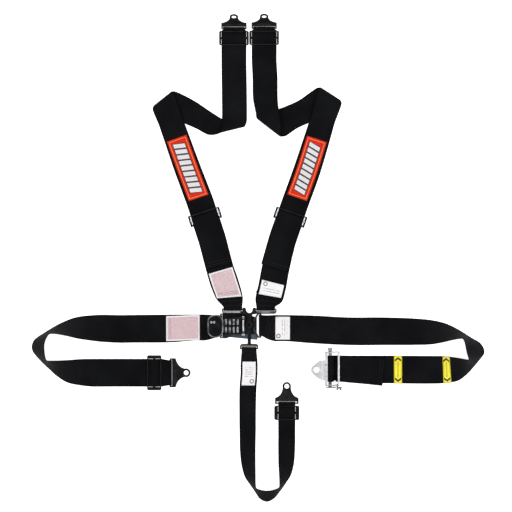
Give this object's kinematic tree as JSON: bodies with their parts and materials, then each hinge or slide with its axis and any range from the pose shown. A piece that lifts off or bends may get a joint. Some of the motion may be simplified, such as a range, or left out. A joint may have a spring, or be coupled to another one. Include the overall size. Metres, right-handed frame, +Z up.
{
  "type": "racing harness",
  "caption": "Latch and link racing harness laid out flat: shoulder, lap and crotch belts meet at a lever latch; a ratchet tightens one lap belt and bolt-in tabs anchor the ends.",
  "frame": {"origin": "on the underside of the latch base, which lies on the plane z = 0 with all the belts", "axes": "+Z up out of the plane the belts lie on; +Y along the shoulder belts, away from the crotch strap; +X from the latch towards the link and the ratchet"},
  "size_m": [1.2682, 1.3649, 0.0776],
  "materials": {
    "webbing": "woven, matt black",
    "label": "matt printed label",
    "patch": "embroidered, matt",
    "tag": "satin woven tag",
    "black_hardware": "gloss black powder coat",
    "chrome_hardware": "bright plated"
  },
  "bodies": {
    "latch": {"latch_base": "black_hardware", "latch_post": "black_hardware", "post_spacer": "black_hardware", "lever_pin": "chrome_hardware", "lever_spring": "chrome_hardware", "link": "black_hardware", "left_lap_webbing": "webbing", "left_lap_slide": "black_hardware", "left_lap_label": "label", "right_lap_webbing": "webbing", "right_lap_label": "label", "inner_warning_tag": "tag", "outer_warning_tag": "tag", "ratchet_tail_webbing": "webbing", "ratchet_frame": "chrome_hardware", "ratchet_anchor": "chrome_hardware", "anchor_rivet_1": "chrome_hardware", "anchor_rivet_2": "chrome_hardware", "pawl_pivot": "chrome_hardware", "pawl_spring": "chrome_hardware"},
    "lever": {"latch_lever": "black_hardware", "latch_handle": "black_hardware", "handle_rivet_outer": "chrome_hardware", "handle_rivet_inner": "chrome_hardware"},
    "left_shoulder": {"left_shoulder_fitting": "black_hardware", "left_lower_webbing": "webbing", "left_shoulder_webbing": "webbing", "left_adjuster_frame": "black_hardware", "left_shoulder_slide": "black_hardware", "left_shoulder_label": "label", "left_shoulder_patch": "patch"},
    "right_shoulder": {"right_shoulder_fitting": "black_hardware", "right_lower_webbing": "webbing", "right_shoulder_webbing": "webbing", "right_adjuster_frame": "black_hardware", "right_shoulder_slide": "black_hardware", "right_shoulder_label": "label", "right_shoulder_patch": "patch"},
    "sub": {"sub_fitting": "black_hardware", "sub_webbing": "webbing", "sub_slide": "black_hardware", "sub_label": "label"},
    "left_adjuster_grip": {"left_adjuster_bar": "chrome_hardware"},
    "right_adjuster_grip": {"right_adjuster_bar": "chrome_hardware"},
    "left_lap_anchor_tab": {"left_lap_tab": "black_hardware"},
    "sub_anchor_tab": {"sub_tab": "black_hardware"},
    "left_shoulder_anchor_tab": {"left_shoulder_tab": "black_hardware"},
    "right_shoulder_anchor_tab": {"right_shoulder_tab": "black_hardware"},
    "spool": {"ratchet_spool": "chrome_hardware", "ratchet_webbing_roll": "webbing", "ratchet_wheel": "chrome_hardware", "ratchet_drive_head": "chrome_hardware"},
    "pawl": {"ratchet_pawl": "chrome_hardware", "ratchet_knob": "chrome_hardware"},
    "ring": {"ratchet_ring": "chrome_hardware"}
  },
  "joints": [
    {"name": "lever_hinge", "type": "hinge", "parent": "latch", "child": "lever", "pos_m": [0.009, 0, 0.013], "axis": [0, 1, 0], "range_deg": [0, 100]},
    {"name": "left_shoulder_swivel", "type": "hinge", "parent": "latch", "child": "left_shoulder", "pos_m": [0.026, 0.006, 0.014], "axis": [0, 0, 1], "range_deg": [0, 7]},
    {"name": "right_shoulder_swivel", "type": "hinge", "parent": "latch", "child": "right_shoulder", "pos_m": [0.026, 0.006, 0.0176], "axis": [0, 0, 1], "range_deg": [-10, 0]},
    {"name": "sub_swivel", "type": "hinge", "parent": "latch", "child": "sub", "pos_m": [0.026, 0.006, 0.0069], "axis": [0, 0, 1], "range_deg": [-12, 8]},
    {"name": "left_adjuster_slip", "type": "slide", "parent": "left_shoulder", "child": "left_adjuster_grip", "axis": [0.3057, -0.9521, 0], "range_m": [0, 0.0025]},
    {"name": "right_adjuster_slip", "type": "slide", "parent": "right_shoulder", "child": "right_adjuster_grip", "axis": [-0.3272, -0.9449, 0], "range_m": [0, 0.0025]},
    {"name": "left_lap_tab_swing", "type": "hinge", "parent": "latch", "child": "left_lap_anchor_tab", "pos_m": [-0.195, -0.128, 0.00465], "axis": [0, -1, 0], "range_deg": [0, 70]},
    {"name": "sub_tab_swing", "type": "hinge", "parent": "sub", "child": "sub_anchor_tab", "pos_m": [0.1309, -0.2132, 0.00465], "axis": [1, 0, 0], "range_deg": [0, 70]},
    {"name": "left_shoulder_tab_swing", "type": "hinge", "parent": "left_shoulder", "child": "left_shoulder_anchor_tab", "pos_m": [-0.017, 0.8355, 0.00465], "axis": [1, 0, 0], "range_deg": [0, 40]},
    {"name": "right_shoulder_tab_swing", "type": "hinge", "parent": "right_shoulder", "child": "right_shoulder_anchor_tab", "pos_m": [0.0676, 0.8365, 0.00465], "axis": [1, 0, 0], "range_deg": [0, 40]},
    {"name": "spool_turn", "type": "hinge", "parent": "latch", "child": "spool", "pos_m": [0.252, -0.1165, 0.0156], "axis": [0, 1, 0], "continuous": true},
    {"name": "pawl_lift", "type": "hinge", "parent": "latch", "child": "pawl", "pos_m": [0.272, -0.168, 0.024], "axis": [0, 1, 0], "range_deg": [0, 12], "stiffness_Nm_per_rad": 0.02, "springref_deg": -17.19},
    {"name": "ring_swing", "type": "hinge", "parent": "latch", "child": "ring", "pos_m": [0.2786, -0.0698, 0.02], "axis": [1, 0, 0], "range_deg": [0, 35]}
  ]
}
